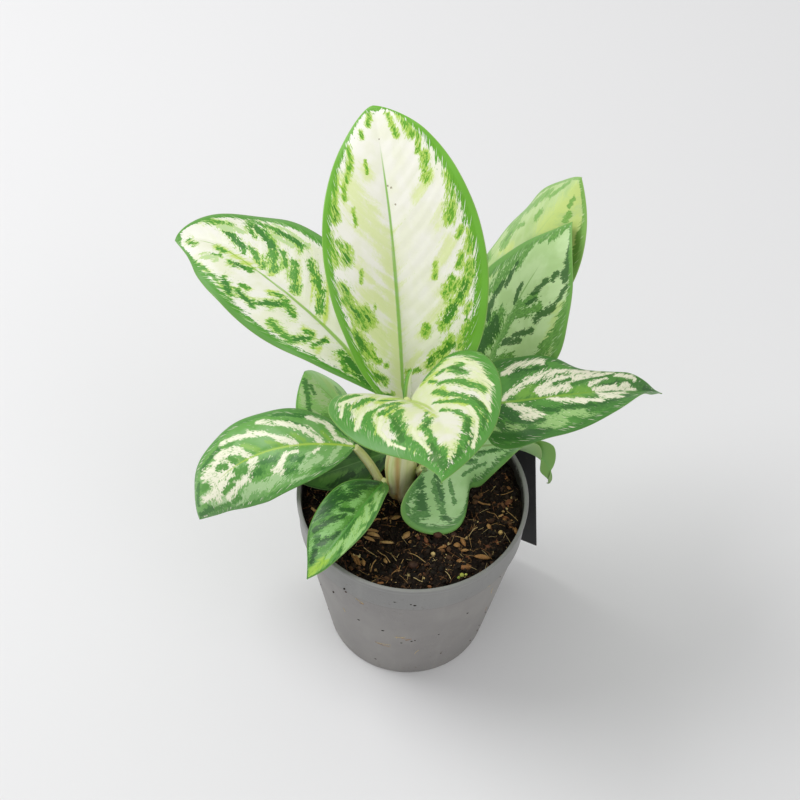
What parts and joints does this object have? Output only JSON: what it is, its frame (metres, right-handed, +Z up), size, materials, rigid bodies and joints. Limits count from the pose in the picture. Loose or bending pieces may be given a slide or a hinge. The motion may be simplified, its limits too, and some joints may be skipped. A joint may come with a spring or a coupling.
{
  "type": "potted chinese evergreen",
  "caption": "Potted Chinese evergreen: waved cream and green leaves on pale stems in a round grey nursery pot of dark soil, with a plain black label.",
  "frame": {"origin": "centre of the pot's underside, where it rests", "axes": "+Z up along the pot's axis; the picture looks along +Y from above; +X is the picture's right"},
  "size_m": [0.2524, 0.2009, 0.2832],
  "materials": {
    "pot_plastic": "matte, scuffed",
    "soil_mix": "damp peat with bark chips and husks",
    "stem_flesh": "satin",
    "leaf_cream": "satin, variegated",
    "leaf_green": "satin, variegated",
    "label_card": "matte, blank"
  },
  "bodies": {
    "root": {"pot": "pot_plastic", "soil": "soil_mix", "shoot_main": "stem_flesh", "shoot_right": "stem_flesh", "shoot_left": "stem_flesh", "new_leaf": "leaf_green", "label_panel": "label_card", "leaf_crown": "leaf_cream", "leaf_left_upper": "leaf_cream", "leaf_front": "leaf_green", "leaf_right": "leaf_green", "leaf_back_right": "leaf_green", "leaf_back": "leaf_green", "leaf_left_lower": "leaf_green", "leaf_left_back": "leaf_green", "leaf_low_left": "leaf_green", "leaf_front_left": "leaf_green", "leaf_low_right": "leaf_green"}
  },
  "joints": []
}
